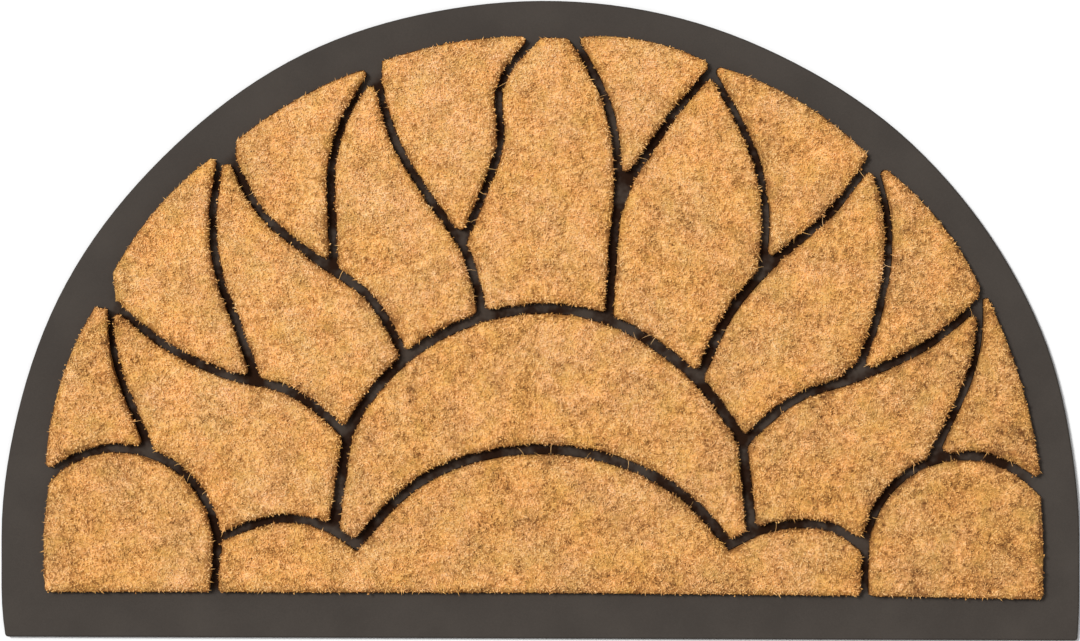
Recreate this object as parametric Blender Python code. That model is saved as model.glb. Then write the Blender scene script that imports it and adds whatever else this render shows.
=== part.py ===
"""Half-round doormat: a moulded rubber base that carries coir pads, laid out as the upper half of
a sunflower, with open channels between the pads.

Sizes are in millimetres and become metres when the points are made. The layout is drawn about the
fan centre, the middle of the round edge. Bearings are in degrees from +X, turning left.
"""
import math
from collections import namedtuple

import bmesh
import bpy
from mathutils import Vector
from mathutils.geometry import intersect_line_line_2d, intersect_point_line

MM = 0.001

# Rubber base. The fan centre lies toward the front of the whole mat, whose middle is the origin
FAN_CENTRE = (0.7, -152.2)
BASE_TOP = 5.0
FRONT_EDGE_LEFT = -70.5
FRONT_EDGE_RIGHT = -73.3
FRONT_CORNER_RADIUS = 2.0
SIDE_TUCK_LEFT = 2.8
SIDE_TUCK_RIGHT = 1.4
SIDE_TUCK_LENGTH = 35.0
SIDE_TUCK_STEPS = 3
BACK_EDGE_STEPS = 96

# The round back edge isn't quite true: its distance from the fan centre by bearing
EdgeKnot = namedtuple("EdgeKnot", "bearing distance")
BACK_EDGE = (
    EdgeKnot(0.0, 379.3),
    EdgeKnot(8.0, 379.0),
    EdgeKnot(22.0, 381.2),
    EdgeKnot(46.0, 380.8),
    EdgeKnot(66.0, 378.6),
    EdgeKnot(98.0, 377.6),
    EdgeKnot(116.0, 379.4),
    EdgeKnot(134.0, 378.0),
    EdgeKnot(154.0, 379.8),
    EdgeKnot(166.0, 379.4),
    EdgeKnot(180.0, 380.7),
)

# Coir pads and the shallow seats that hold them
SEAT_DEPTH = 1.5
SEAT_CLEARANCE = 0.3
PAD_RISE = 9.0
SEAT_FLOOR = BASE_TOP - SEAT_DEPTH
PAD_TOP = BASE_TOP + PAD_RISE

# Edge profiles from the bottom up: how far each ring lies inside the outline, and its height
Ring = namedtuple("Ring", "inset height")
BASE_EDGE = (
    Ring(0.8, 0.0),
    Ring(0.0, 0.9),
    Ring(0.0, BASE_TOP - 1.4),
    Ring(0.4, BASE_TOP - 0.4),
    Ring(1.3, BASE_TOP),
)
PAD_EDGE = (
    Ring(0.0, SEAT_FLOOR + SEAT_CLEARANCE),
    Ring(0.0, PAD_TOP - 1.6),
    Ring(1.4, PAD_TOP),
)

# How the layout is drawn
CORNER_RADIUS = 3.2
CORNER_RADII = {"notch_left": 1.5, "notch_right": 1.5}
CORNER_STEP = 32.0
CORNER_PROBE = 5.0
LONGEST_CUT_SHARE = 0.4
OUTLINE_TOLERANCE = 0.2
DRAWING_SPACING = 3.0
LINE_OVERRUN = 14.0

# Places where channels meet each other or run out at the border, about the fan centre
Place = namedtuple("Place", "bearing distance")
PLACES = {
    "side_left": Place(173.0, 350.5),
    "tip_1": Place(151.5, 345.0),
    "tip_2": Place(130.3, 347.5),
    "tip_3": Place(110.5, 344.5),
    "crown_left": Place(91.1, 348.5),
    "crown_right": Place(86.0, 348.5),
    "tip_5": Place(70.0, 348.5),
    "tip_6": Place(48.8, 351.5),
    "tip_7": Place(28.2, 350.0),
    "side_right": Place(6.7, 353.0),
    "corner_left_top": Place(167.2, 283.0),
    "fork_1": Place(151.0, 229.0),
    "fork_2": Place(127.4, 240.0),
    "fork_3": Place(104.8, 215.5),
    "fork_4": Place(77.2, 249.0),
    "fork_5": Place(50.8, 246.0),
    "fork_6": Place(27.6, 251.0),
    "corner_right_top": Place(12.1, 283.0),
    "disc_left": Place(152.2, 156.0),
    "disc_2": Place(127.0, 161.5),
    "disc_3": Place(104.8, 162.5),
    "disc_4": Place(73.0, 162.5),
    "disc_5": Place(45.7, 161.5),
    "disc_right": Place(24.8, 156.5),
    "heel_left": Place(176.3, 146.0),
    "heel_right": Place(2.3, 148.0),
    "notch_left": Place(-177.5, 130.5),
    "notch_right": Place(-2.4, 133.0),
    "scallop_left": Place(-179.4, 230.0),
    "scallop_right": Place(-2.0, 228.0),
    "front_left": Place(-170.6, 233.5),
    "front_right": Place(-10.1, 231.0),
    "front_corner_left": Place(-173.7, 351.5),
    "front_corner_right": Place(-6.9, 354.5),
}

# Channels between two places. The start may lie a turn of some degrees beside its place. The bows
# push the middle line to the left of its travel at a quarter, half and three quarters of the way
Channel = namedtuple(
    "Channel", "start start_turn end bow_near bow_middle bow_far width_start width_end")
CHANNELS = {
    "petal_1_lower": Channel("tip_1", 0.0, "corner_left_top", -5.9, -6.7, -3.6, 4.0, 6.0),
    "petal_1_upper": Channel("tip_1", -0.3, "disc_left", -8.5, -5.5, 6.8, 5.5, 6.5),
    "petal_2_lower": Channel("tip_2", 0.3, "fork_1", -12.0, -14.0, -7.0, 5.0, 6.5),
    "petal_2_upper": Channel("tip_2", -1.2, "disc_2", -10.5, -3.0, 7.5, 5.5, 6.5),
    "petal_3_lower": Channel("tip_3", 0.1, "fork_2", -12.5, -14.6, -8.1, 5.0, 6.5),
    "petal_3_upper": Channel("tip_3", -0.8, "disc_3", -6.5, -1.5, 7.0, 5.5, 6.5),
    "petal_4_left": Channel("crown_left", 0.0, "fork_3", -11.0, 2.0, 2.5, 5.5, 5.5),
    "petal_4_right": Channel("crown_right", 0.0, "disc_4", 17.5, 18.3, 9.0, 5.5, 6.0),
    "petal_5_upper": Channel("tip_5", 0.0, "fork_4", -2.5, -2.5, -0.5, 5.5, 6.5),
    "petal_5_lower": Channel("tip_5", -0.1, "fork_5", 9.4, 14.9, 11.6, 5.0, 6.0),
    "petal_6_upper": Channel("tip_6", 0.0, "disc_5", 0.5, -8.5, -11.0, 5.5, 7.0),
    "petal_6_lower": Channel("tip_6", -0.5, "fork_6", 12.6, 15.2, 10.2, 5.0, 6.5),
    "petal_7_upper": Channel("tip_7", 0.0, "disc_right", 7.0, 2.0, -8.0, 6.0, 7.0),
    "petal_7_lower": Channel("tip_7", -0.1, "corner_right_top", 7.0, 8.0, 4.5, 4.5, 6.5),
    "scallop_left": Channel("scallop_left", 0.0, "notch_left", 11.5, 17.0, 13.5, 6.0, 6.5),
    "scallop_right": Channel("notch_right", 0.0, "scallop_right", 11.5, 16.0, 14.0, 6.5, 6.5),
}

# The flat arch under the disc, from notch to notch: its rise over each eighth of the span
DISC_UNDER_RISE = (35.8, 55.4, 64.8, 67.3, 64.0, 53.8, 34.8)
DISC_UNDER_WIDTH = 7.0

# Channels that run on an arc. The disc's arc is drawn in a little halfway down its right side
Arc = namedtuple("Arc", "centre radius draw_in width")
CORNER_LEFT_ARC = Arc((-298.0, -7.4), 69.9, 0.0, 6.5)
CORNER_RIGHT_ARC = Arc((298.1, -13.0), 70.3, 0.0, 7.0)
DISC_ARC = Arc((2.2, 8.0), 153.0, 4.5, 7.2)
FRONT_CHANNEL_WIDTH = 5.6

# Outer edge of each pad that reaches the border: distance from the fan centre along it
RimEdge = namedtuple("RimEdge", "first last reach_first reach_middle reach_last")
RIM_EDGES = {
    "rim_side_right": RimEdge("side_right", "tip_7", 354.0, 354.5, 356.5),
    "rim_infill_6": RimEdge("tip_7", "tip_6", 354.5, 357.5, 353.5),
    "rim_infill_5": RimEdge("tip_6", "tip_5", 353.5, 356.5, 353.5),
    "rim_infill_4": RimEdge("tip_5", "crown_right", 353.5, 357.0, 352.5),
    "rim_petal_4": RimEdge("crown_right", "crown_left", 351.0, 351.5, 351.0),
    "rim_infill_3": RimEdge("crown_left", "tip_3", 352.5, 353.5, 353.0),
    "rim_infill_2": RimEdge("tip_3", "tip_2", 352.0, 353.0, 351.5),
    "rim_infill_1": RimEdge("tip_2", "tip_1", 353.5, 356.0, 352.5),
    "rim_side_left": RimEdge("tip_1", "side_left", 353.0, 355.5, 352.0),
}

# Straight outer edges of the pads along the front and at the two front corners
Side = namedtuple("Side", "start end bow")
SIDES = {
    "side_left": Side((-346.0, 42.0), (-349.5, -38.0), -2.5),
    "side_right": Side((350.0, 42.0), (353.0, -43.0), 1.5),
    "front_left": Side((-350.0, -38.8), (-230.0, -38.8), 0.0),
    "front": Side((-230.0, -38.9), (231.0, -41.6), 0.8),
    "front_right": Side((231.0, -41.8), (354.0, -44.0), 0.0),
}

# Each pad's corners and the edges between them, counter-clockwise: edge 1 leaves corner 1
Pad = namedtuple("Pad", "corners edges")
PADS = {
    "pad_corner_left": Pad(
        ("front_corner_left", "front_left", "side_left"),
        ("front_left", "corner_left", "side_left")),
    "pad_side_left": Pad(
        ("side_left", "corner_left_top", "tip_1"),
        ("corner_left", "petal_1_lower", "rim_side_left")),
    "pad_petal_1": Pad(
        ("tip_1", "corner_left_top", "scallop_left", "heel_left", "disc_left"),
        ("petal_1_lower", "corner_left", "scallop_left", "disc", "petal_1_upper")),
    "pad_infill_1": Pad(
        ("tip_1", "fork_1", "tip_2"),
        ("petal_1_upper", "petal_2_lower", "rim_infill_1")),
    "pad_petal_2": Pad(
        ("tip_2", "fork_1", "disc_left", "disc_2"),
        ("petal_2_lower", "petal_1_upper", "disc", "petal_2_upper")),
    "pad_infill_2": Pad(
        ("tip_2", "fork_2", "tip_3"),
        ("petal_2_upper", "petal_3_lower", "rim_infill_2")),
    "pad_petal_3": Pad(
        ("tip_3", "fork_2", "disc_2", "disc_3"),
        ("petal_3_lower", "petal_2_upper", "disc", "petal_3_upper")),
    "pad_infill_3": Pad(
        ("tip_3", "fork_3", "crown_left"),
        ("petal_3_upper", "petal_4_left", "rim_infill_3")),
    "pad_petal_4": Pad(
        ("crown_left", "fork_3", "disc_3", "disc_4", "crown_right"),
        ("petal_4_left", "petal_3_upper", "disc", "petal_4_right", "rim_petal_4")),
    "pad_infill_4": Pad(
        ("crown_right", "fork_4", "tip_5"),
        ("petal_4_right", "petal_5_upper", "rim_infill_4")),
    "pad_petal_5": Pad(
        ("tip_5", "fork_4", "disc_4", "disc_5", "fork_5"),
        ("petal_5_upper", "petal_4_right", "disc", "petal_6_upper", "petal_5_lower")),
    "pad_infill_5": Pad(
        ("tip_5", "fork_5", "tip_6"),
        ("petal_5_lower", "petal_6_upper", "rim_infill_5")),
    "pad_petal_6": Pad(
        ("tip_6", "disc_5", "disc_right", "fork_6"),
        ("petal_6_upper", "disc", "petal_7_upper", "petal_6_lower")),
    "pad_infill_6": Pad(
        ("tip_6", "fork_6", "tip_7"),
        ("petal_6_lower", "petal_7_upper", "rim_infill_6")),
    "pad_petal_7": Pad(
        ("tip_7", "disc_right", "heel_right", "scallop_right", "corner_right_top"),
        ("petal_7_upper", "disc", "scallop_right", "corner_right", "petal_7_lower")),
    "pad_side_right": Pad(
        ("tip_7", "corner_right_top", "side_right"),
        ("petal_7_lower", "corner_right", "rim_side_right")),
    "pad_corner_right": Pad(
        ("front_right", "front_corner_right", "side_right"),
        ("front_right", "side_right", "corner_right")),
    "pad_disc": Pad(
        ("heel_left", "notch_left", "notch_right", "heel_right"),
        ("scallop_left", "disc_under", "scallop_right", "disc")),
    "pad_front": Pad(
        ("front_left", "front_right", "scallop_right", "notch_right", "notch_left", "scallop_left"),
        ("front", "corner_right", "scallop_right", "disc_under", "scallop_left", "corner_left")),
}

# Corners that are cut off, most of them where the border runs on into a channel: how far the cut
# reaches along the edge before the corner and along the edge after it
CornerCut = namedtuple("CornerCut", "before after")
CORNER_CUTS = {
    ("pad_infill_1", "tip_1"): CornerCut(13.0, 10.0),
    ("pad_infill_2", "tip_2"): CornerCut(5.5, 8.5),
    ("pad_infill_3", "tip_3"): CornerCut(3.5, 13.5),
    ("pad_infill_4", "tip_5"): CornerCut(4.0, 4.0),
    ("pad_infill_6", "tip_7"): CornerCut(4.0, 6.0),
    ("pad_side_left", "tip_1"): CornerCut(16.0, 17.0),
    ("pad_side_right", "tip_7"): CornerCut(8.0, 8.0),
    ("pad_petal_5", "fork_4"): CornerCut(15.0, 16.0),
    ("pad_petal_6", "fork_6"): CornerCut(10.0, 10.0),
}

# Finishes: base colour, roughness
RUBBER_FINISH = ((0.074, 0.065, 0.055), 0.78)
COIR_FINISH = ((0.68, 0.38, 0.13), 0.95)


# Layout drawing. A line is a channel's middle, or an outer edge, which has no width
Line = namedtuple("Line", "points width_start width_end")


def spot(name, turn=0.0):
    """The point of a named place, or one a turn of some degrees beside it."""
    place = PLACES[name]
    bearing = math.radians(place.bearing + turn)
    return Vector((math.cos(bearing), math.sin(bearing))) * place.distance


def bow_push(pushes, share):
    """The push at a share of the way, on a smooth curve through evenly spaced pushes."""
    last = len(pushes) - 1
    slopes = [(pushes[knot + 1] - pushes[knot - 1]) / 2 for knot in range(1, last)]
    slope_first = 1.5 * (pushes[1] - pushes[0]) - slopes[0] / 2
    slope_last = 1.5 * (pushes[last] - pushes[last - 1]) - slopes[-1] / 2
    slopes = [slope_first, *slopes, slope_last]
    knot = min(int(share * last), last - 1)
    part = share * last - knot
    rise = part * part * (3 - 2 * part)
    push = pushes[knot] * (1 - rise) + pushes[knot + 1] * rise
    push += slopes[knot] * part * (1 - part) ** 2
    return push - slopes[knot + 1] * part * part * (1 - part)


def bowed_line(start, end, bows):
    """Points from start to end, pushed to the left by the bows at equal shares of the way."""
    pushes = [0.0, *bows, 0.0]
    travel = end - start
    left = Vector((-travel.y, travel.x)).normalized()
    steps = max(4, round(travel.length / DRAWING_SPACING))
    line = []
    for step in range(steps + 1):
        share = step / steps
        line.append(start + travel * share + left * bow_push(pushes, share))
    return line


def arc_line(arc, first, last):
    """Points of an arc from one bearing to another, both about the arc's own centre."""
    centre = Vector(arc.centre)
    turn = math.radians(last - first)
    steps = round(abs(turn) * arc.radius / DRAWING_SPACING)
    line = []
    for step in range(steps + 1):
        bearing = math.radians(first) + turn * step / steps
        reach = arc.radius
        if 0.0 < bearing < math.pi / 2:
            reach -= arc.draw_in * math.sin(2 * bearing) ** 2
        line.append(centre + Vector((math.cos(bearing), math.sin(bearing))) * reach)
    return line


def bearing_from(arc, point):
    """The bearing of a point, seen from an arc's centre."""
    away = point - Vector(arc.centre)
    return math.degrees(math.atan2(away.y, away.x))


def rim_line(edge):
    """Outer edge of a pad along the border, with its own small bulge."""
    first = PLACES[edge.first].bearing
    last = PLACES[edge.last].bearing
    middle = (edge.reach_first + edge.reach_last) / 2
    steps = round(math.radians(last - first) * edge.reach_middle / DRAWING_SPACING)
    line = []
    for step in range(steps + 1):
        share = step / steps
        bulge = 4 * share * (1 - share) * (edge.reach_middle - middle)
        reach = edge.reach_first + (edge.reach_last - edge.reach_first) * share + bulge
        bearing = math.radians(first + (last - first) * share)
        line.append(Vector((math.cos(bearing), math.sin(bearing))) * reach)
    return line


def arc_channel(arc, first, last, leg_before, leg_after, width_end):
    """A channel on an arc, with the legs that lead into it and out of it."""
    line = leg_before + arc_line(arc, first, last) + leg_after
    return Line(line, arc.width, width_end)


def layout_lines():
    """Every edge of the layout by name."""
    lines = {}
    for name, channel in CHANNELS.items():
        bows = (channel.bow_near, channel.bow_middle, channel.bow_far)
        start = spot(channel.start, channel.start_turn)
        points = bowed_line(start, spot(channel.end), bows)
        lines[name] = Line(points, channel.width_start, channel.width_end)
    points = bowed_line(spot("notch_left"), spot("notch_right"), DISC_UNDER_RISE)
    lines["disc_under"] = Line(points, DISC_UNDER_WIDTH, DISC_UNDER_WIDTH)

    first = bearing_from(CORNER_LEFT_ARC, spot("side_left"))
    lines["corner_left"] = arc_channel(
        CORNER_LEFT_ARC, first, 0.0, [], [spot("front_left")], FRONT_CHANNEL_WIDTH)
    first = bearing_from(CORNER_RIGHT_ARC, spot("side_right"))
    lines["corner_right"] = arc_channel(
        CORNER_RIGHT_ARC, first, 180.0, [], [spot("front_right")], FRONT_CHANNEL_WIDTH)
    first = bearing_from(DISC_ARC, spot("disc_left"))
    last = bearing_from(DISC_ARC, spot("disc_right"))
    lines["disc"] = arc_channel(
        DISC_ARC, first, last, [spot("heel_left")], [spot("heel_right")], DISC_ARC.width)

    for name, edge in RIM_EDGES.items():
        lines[name] = Line(rim_line(edge), 0.0, 0.0)
    for name, side in SIDES.items():
        points = bowed_line(Vector(side.start), Vector(side.end), (side.bow,))
        lines[name] = Line(points, 0.0, 0.0)
    return lines


def distances(points):
    """How far along a line each of its points lies."""
    travelled = [0.0]
    for here, there in zip(points, points[1:]):
        travelled.append(travelled[-1] + (there - here).length)
    return travelled


def locate(points, target):
    """How far along a line the place nearest to a target lies."""
    travelled = distances(points)
    nearest_gap = math.inf
    nearest = 0.0
    for index, (here, there) in enumerate(zip(points, points[1:])):
        share = intersect_point_line(target, here, there)[1]
        share = min(max(share, 0.0), 1.0)
        gap = (here.lerp(there, share) - target).length
        if gap < nearest_gap:
            nearest_gap = gap
            nearest = travelled[index] + (there - here).length * share
    return nearest


def point_along(points, distance):
    """The point of a line at a distance from its start."""
    travelled = distances(points)
    index = 0
    while index < len(points) - 2 and travelled[index + 1] < distance:
        index += 1
    here = points[index]
    there = points[index + 1]
    return here.lerp(there, (distance - travelled[index]) / (there - here).length)


def beside(points, push_start, push_end):
    """A line moved to its left, by an amount that changes along it, and run on at both ends."""
    travelled = distances(points)
    moved = []
    for index, point in enumerate(points):
        ahead = points[min(index + 1, len(points) - 1)]
        behind = points[max(index - 1, 0)]
        direction = (ahead - behind).normalized()
        push = push_start + (push_end - push_start) * travelled[index] / travelled[-1]
        moved.append(point + Vector((-direction.y, direction.x)) * push)
    before = moved[0] + (moved[0] - moved[1]).normalized() * LINE_OVERRUN
    after = moved[-1] + (moved[-1] - moved[-2]).normalized() * LINE_OVERRUN
    return [before, *moved, after]


def facing_side(line, corner, next_corner):
    """The side of a line that faces a pad, running from one of its corners to the next."""
    if locate(line.points, spot(next_corner)) > locate(line.points, spot(corner)):
        return beside(line.points, line.width_start / 2, line.width_end / 2)
    backward = beside(line.points, -line.width_start / 2, -line.width_end / 2)
    return list(reversed(backward))


def crossing(points_a, points_b, hint):
    """The place nearest to the hint where two lines cross."""
    found = None
    found_gap = math.inf
    for a_start, a_end in zip(points_a, points_a[1:]):
        for b_start, b_end in zip(points_b, points_b[1:]):
            point = intersect_line_line_2d(a_start, a_end, b_start, b_end)
            if point is not None and (point - hint).length < found_gap:
                found = point
                found_gap = (point - hint).length
    return found


def thin_out(points):
    """Only the points that the shape of a line needs."""
    start = points[0]
    end = points[-1]
    farthest_gap = 0.0
    farthest = 0
    for index in range(1, len(points) - 1):
        foot = intersect_point_line(points[index], start, end)[0].to_2d()
        gap = (points[index] - foot).length
        if gap > farthest_gap:
            farthest_gap = gap
            farthest = index
    if farthest_gap < OUTLINE_TOLERANCE:
        return [start, end]
    return thin_out(points[:farthest + 1])[:-1] + thin_out(points[farthest:])


def rounded_corner(before, corner, after):
    """Points of an arc that leaves one side before the corner and joins the next side after it."""
    turn = (corner - before).angle(after - corner)
    steps = max(2, math.ceil(turn / math.radians(CORNER_STEP)))
    weight = math.cos(turn / 2)
    arc = []
    for step in range(steps + 1):
        share = step / steps
        near = (1 - share) ** 2
        middle = 2 * share * (1 - share) * weight
        far = share ** 2
        arc.append((before * near + corner * middle + after * far) / (near + middle + far))
    return arc


def pad_outline(lines, name):
    """A pad's outline, counter-clockwise, with its corners rounded or cut off."""
    pad = PADS[name]
    count = len(pad.corners)
    sides = []
    for index, edge in enumerate(pad.edges):
        next_corner = pad.corners[(index + 1) % count]
        sides.append(facing_side(lines[edge], pad.corners[index], next_corner))
    corners = []
    for index, place in enumerate(pad.corners):
        corners.append(crossing(sides[index - 1], sides[index], spot(place)))

    starts = [locate(sides[index], corners[index]) for index in range(count)]
    ends = [locate(sides[index], corners[(index + 1) % count]) for index in range(count)]
    cuts = []
    arcs = []
    for index, corner in enumerate(corners):
        place = pad.corners[index]
        probe_in = point_along(sides[index - 1], ends[index - 1] - CORNER_PROBE)
        probe_out = point_along(sides[index], starts[index] + CORNER_PROBE)
        turn = (corner - probe_in).angle(probe_out - corner)
        radius = CORNER_RADII.get(place, CORNER_RADIUS)
        shortest = min(ends[index - 1] - starts[index - 1], ends[index] - starts[index])
        reach = min(radius * math.tan(turn / 2), LONGEST_CUT_SHARE * shortest)
        cut = CORNER_CUTS.get((name, place), CornerCut(reach, reach))
        before = point_along(sides[index - 1], ends[index - 1] - cut.before)
        after = point_along(sides[index], starts[index] + cut.after)
        cuts.append(cut)
        if (name, place) in CORNER_CUTS:
            arcs.append([before, after])
        else:
            arcs.append(rounded_corner(before, corner, after))

    outline = []
    for index in range(count):
        first = starts[index] + cuts[index].after
        last = ends[index] - cuts[(index + 1) % count].before
        steps = max(2, round((last - first) / DRAWING_SPACING))
        side = [point_along(sides[index], first + (last - first) * step / steps)
                for step in range(steps + 1)]
        outline.extend(arcs[index][:-1])
        outline.extend(thin_out(side)[:-1])
    return outline


def back_edge_reach(bearing):
    """Distance from the fan centre to the back edge at a bearing."""
    for here, there in zip(BACK_EDGE, BACK_EDGE[1:]):
        if bearing <= there.bearing:
            share = (bearing - here.bearing) / (there.bearing - here.bearing)
            eased = share * share * (3 - 2 * share)
            return here.distance + (there.distance - here.distance) * eased


def base_flank(side, reach, front, tuck):
    """One straight side of the base, up from its front corner, where it tucks in a little."""
    flank = []
    for step in range(SIDE_TUCK_STEPS + 1):
        share = step / SIDE_TUCK_STEPS
        x = side * (reach - tuck * (1 - share) ** 2)
        flank.append(Vector((x, front + SIDE_TUCK_LENGTH * share)))
    return flank


def base_outline():
    """The base's outline, counter-clockwise from its right front corner."""
    right = base_flank(1, BACK_EDGE[0].distance, FRONT_EDGE_RIGHT, SIDE_TUCK_RIGHT)
    left = base_flank(-1, BACK_EDGE[-1].distance, FRONT_EDGE_LEFT, SIDE_TUCK_LEFT)
    left.reverse()
    back = []
    for step in range(BACK_EDGE_STEPS + 1):
        bearing = 180.0 * step / BACK_EDGE_STEPS
        angle = math.radians(bearing)
        back.append(Vector((math.cos(angle), math.sin(angle))) * back_edge_reach(bearing))
    corner_right = rounded_front_corner(left[-1], right[0], right[1])
    corner_left = rounded_front_corner(left[-2], left[-1], right[0])
    return corner_right + right[1:] + back + left[:-1] + corner_left


def rounded_front_corner(previous, corner, following):
    """Points of the small arc at one of the base's front corners."""
    before = corner + (previous - corner).normalized() * FRONT_CORNER_RADIUS
    after = corner + (following - corner).normalized() * FRONT_CORNER_RADIUS
    return rounded_corner(before, corner, after)


def inset_loop(loop, distance):
    """A closed outline moved inwards, or outwards where the distance is negative."""
    moved = []
    for index, point in enumerate(loop):
        to_here = (point - loop[index - 1]).normalized()
        onward = (loop[(index + 1) % len(loop)] - point).normalized()
        inward_here = Vector((-to_here.y, to_here.x))
        inward_onward = Vector((-onward.y, onward.x))
        inward = (inward_here + inward_onward).normalized()
        moved.append(point + inward * (distance / inward.dot(inward_onward)))
    return moved


# Solids


def add_ring(mesh, loop, height):
    """Vertices of an outline at a height, placed about the middle of the whole mat."""
    centre_x, centre_y = FAN_CENTRE
    ring = []
    for x, y in loop:
        ring.append(mesh.verts.new(((x + centre_x) * MM, (y + centre_y) * MM, height * MM)))
    return ring


def add_wall(mesh, lower, upper):
    """Faces between two rings of equal length."""
    for index in range(len(lower)):
        onward = (index + 1) % len(lower)
        mesh.faces.new((lower[index], lower[onward], upper[onward], upper[index]))


def ring_edges(mesh, ring):
    """The edges along a ring."""
    return [mesh.edges.get((ring[index - 1], ring[index])) for index in range(len(ring))]


def finish_object(name, mesh, finish_material):
    """The mesh as a named object with its material."""
    bmesh.ops.recalc_face_normals(mesh, faces=mesh.faces)
    data = bpy.data.meshes.new(name)
    mesh.to_mesh(data)
    mesh.free()
    data.materials.append(finish_material)
    made = bpy.data.objects.new(name, data)
    bpy.context.scene.collection.objects.link(made)
    return made


def make_finish(name, colour, roughness):
    """A plain non-metallic material."""
    material = bpy.data.materials.new(name)
    material.use_nodes = True
    shader = material.node_tree.nodes["Principled BSDF"]
    shader.inputs["Base Color"].default_value = (*colour, 1.0)
    shader.inputs["Roughness"].default_value = roughness
    shader.inputs["Metallic"].default_value = 0.0
    return material


def make_base(outlines, material):
    """The moulded base: a flat plate with soft edges and one shallow seat under each pad."""
    mesh = bmesh.new()
    outline = base_outline()
    rings = [add_ring(mesh, inset_loop(outline, row.inset), row.height) for row in BASE_EDGE]
    for lower, upper in zip(rings, rings[1:]):
        add_wall(mesh, lower, upper)
    mesh.faces.new(rings[0])
    top_edges = ring_edges(mesh, rings[-1])
    for pad_loop in outlines.values():
        seat = inset_loop(pad_loop, -SEAT_CLEARANCE)
        floor = add_ring(mesh, seat, SEAT_FLOOR)
        brim = add_ring(mesh, seat, BASE_TOP)
        add_wall(mesh, floor, brim)
        mesh.faces.new(floor)
        top_edges.extend(ring_edges(mesh, brim))
    bmesh.ops.triangle_fill(mesh, edges=top_edges, use_beauty=True, normal=(0.0, 0.0, 1.0))
    return finish_object("rubber_base", mesh, material)


def make_pad(name, outline, material):
    """A coir pad: straight sides up from its seat, and a crown eased in at the top edge."""
    mesh = bmesh.new()
    rings = [add_ring(mesh, inset_loop(outline, row.inset), row.height) for row in PAD_EDGE]
    for lower, upper in zip(rings, rings[1:]):
        add_wall(mesh, lower, upper)
    mesh.faces.new(rings[0])
    mesh.faces.new(rings[-1])
    return finish_object(name, mesh, material)


# The mat, put together from its pieces
for old in list(bpy.data.objects):
    bpy.data.objects.remove(old, do_unlink=True)

layout = layout_lines()
pad_outlines = {pad_name: pad_outline(layout, pad_name) for pad_name in PADS}
rubber = make_finish("moulded_rubber", *RUBBER_FINISH)
coir = make_finish("coir_pile", *COIR_FINISH)
base = make_base(pad_outlines, rubber)
for pad_name, pad_loop in pad_outlines.items():
    made_pad = make_pad(pad_name, pad_loop, coir)
    made_pad.parent = base
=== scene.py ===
import math

import bpy
import numpy as np
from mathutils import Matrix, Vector
from mathutils.geometry import delaunay_2d_cdt


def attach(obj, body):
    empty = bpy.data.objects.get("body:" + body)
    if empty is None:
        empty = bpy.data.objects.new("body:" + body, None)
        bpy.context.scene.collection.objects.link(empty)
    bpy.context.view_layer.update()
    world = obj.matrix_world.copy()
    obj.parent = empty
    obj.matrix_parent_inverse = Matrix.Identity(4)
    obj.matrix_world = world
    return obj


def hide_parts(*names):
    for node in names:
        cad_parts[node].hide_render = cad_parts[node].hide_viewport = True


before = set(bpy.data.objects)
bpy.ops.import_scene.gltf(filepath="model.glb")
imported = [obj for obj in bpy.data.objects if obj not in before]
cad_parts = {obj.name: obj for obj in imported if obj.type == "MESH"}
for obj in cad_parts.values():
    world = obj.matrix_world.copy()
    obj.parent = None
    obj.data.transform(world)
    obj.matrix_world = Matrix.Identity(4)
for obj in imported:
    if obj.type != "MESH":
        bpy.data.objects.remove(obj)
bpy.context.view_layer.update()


# Rubber base. One piece of moulded rubber with a matt, finely grained face and a soft outer edge. Its
# border and the floors of the channels are one level, and it lies flat on the floor. The border is even.
# The channels' colour is painted shade, nearly black with a brown cast, broken by paler smears, and it
# takes on the border's tone where they open to it.
MM = 0.001
FAN_CENTRE = (0.7 * MM, -152.2 * MM, 0.0)
FIELD_FRONT = -190.0 * MM
CHANNEL_REACH = 344.0 * MM
REACH_SOFTNESS = 6.0 * MM
FRONT_SOFTNESS = 3.0 * MM
RUBBER_DARK = (0.049, 0.041, 0.035, 1.0)
RUBBER_PALE = (0.064, 0.054, 0.046, 1.0)
RUBBER_SHINE = 0.06
RUBBER_ROUGHNESS = (0.62, 0.74)
CLOUD_RANGE = (0.3, 0.7)
CLOUD_SHARE = 0.6
DIMPLE_DEPTH = 0.05 * MM
DIMPLE_STRENGTH = 0.5
# Painted shade on the rounded outer lip, darker as the face turns down from level
LIP_PAINTED_SHADE = (0.012, 0.010, 0.008, 1.0)
LIP_RANGE = (0.99, 0.80)
LIP_SHARE = 0.45
# Painted shade for the channel floors: nearly black, with a brown cast as if lit from the coir walls
CHANNEL_PAINTED_SHADE = (0.018, 0.0068, 0.0026, 1.0)
CHANNEL_SMEAR = (0.060, 0.046, 0.036, 1.0)
SMEAR_RANGE = (0.41, 0.65)
# Size, detail and roughness of the noise for each kind of mark on the face
CLOUDS = (45.0 * MM, 4.0, 0.55)
GRAINS = (0.9 * MM, 3.0, 0.6)
DIMPLES = (0.35 * MM, 2.0, 0.5)
SMEARS = (19.0 * MM, 3.0, 0.55)


def put(tree, kind, inputs=None, **settings):
    """A node with its settings, and with each input joined to an output or set to a value."""
    node = tree.nodes.new(kind)
    for setting, value in settings.items():
        setattr(node, setting, value)
    for socket, value in (inputs or {}).items():
        if isinstance(value, bpy.types.NodeSocket):
            tree.links.new(value, node.inputs[socket])
        else:
            node.inputs[socket].default_value = value
    return node


def noise(tree, place, size, detail=2.0, roughness=0.5):
    """Noise whose patches are about a size in metres across."""
    made = put(tree, "ShaderNodeTexNoise", {
        "Vector": place, "Scale": 1.0 / size, "Detail": detail, "Roughness": roughness})
    return made.outputs["Fac"]


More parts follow.
